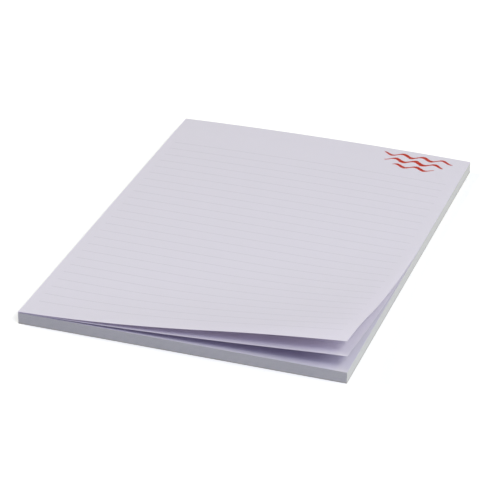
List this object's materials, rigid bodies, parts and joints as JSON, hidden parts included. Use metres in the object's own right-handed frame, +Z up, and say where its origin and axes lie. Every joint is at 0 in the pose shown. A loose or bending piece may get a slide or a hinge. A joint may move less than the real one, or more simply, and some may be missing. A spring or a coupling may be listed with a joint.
{
  "type": "legal pad",
  "caption": "Writing pad of ruled white paper, glued along one short edge to a greyboard back, with its upper sheets curling up at a loose corner.",
  "frame": {"origin": "under the middle of the pad, on the surface that it lies on", "axes": "+X across the pad to the right, +Y along the pad towards the glued edge, +Z up"},
  "size_m": [0.21, 0.2974, 0.0279],
  "materials": {
    "writing_paper": "matte",
    "loose_leaf": "matte",
    "greyboard": "matte",
    "padding_glue": "satin"
  },
  "bodies": {
    "root": {"backing_board": "greyboard", "sheet_block": "writing_paper", "second_sheet": "loose_leaf", "top_sheet": "loose_leaf", "glue_strip": "padding_glue"}
  },
  "joints": []
}
